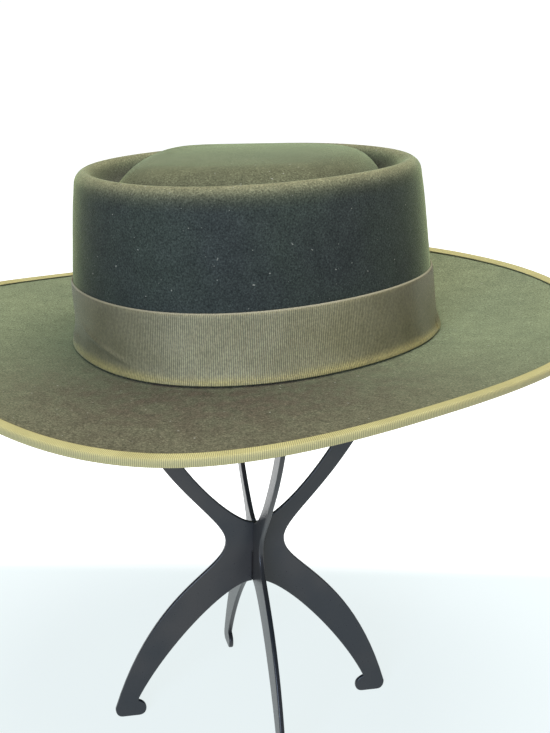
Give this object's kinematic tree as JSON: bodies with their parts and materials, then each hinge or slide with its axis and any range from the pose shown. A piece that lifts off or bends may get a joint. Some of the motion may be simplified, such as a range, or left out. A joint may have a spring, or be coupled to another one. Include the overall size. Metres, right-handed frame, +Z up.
{
  "type": "gambler hat on a display stand",
  "caption": "Olive green felt hat with a telescope crown, a turned brim with bound edge and a ribbon band, resting on a black two-plate display stand",
  "frame": {"origin": "on the floor, under the middle of the whole object's box", "axes": "+Z up; the wearer's front of the hat faces -Y and the wearer's left is +X; the hat is longest along Y"},
  "size_m": [0.3368, 0.3658, 0.3019],
  "materials": {
    "olive_felt": "fur felt with a short brushed nap",
    "taupe_ribbon": "ribbed grosgrain ribbon, soft sheen",
    "khaki_binding": "folded ribbed grosgrain ribbon, soft sheen",
    "black_plastic": "satin moulded plastic"
  },
  "bodies": {
    "root": {"felt_body": "olive_felt", "hat_band": "taupe_ribbon", "brim_binding": "khaki_binding", "stand_plate_over": "black_plastic", "stand_plate_under": "black_plastic"}
  },
  "joints": []
}
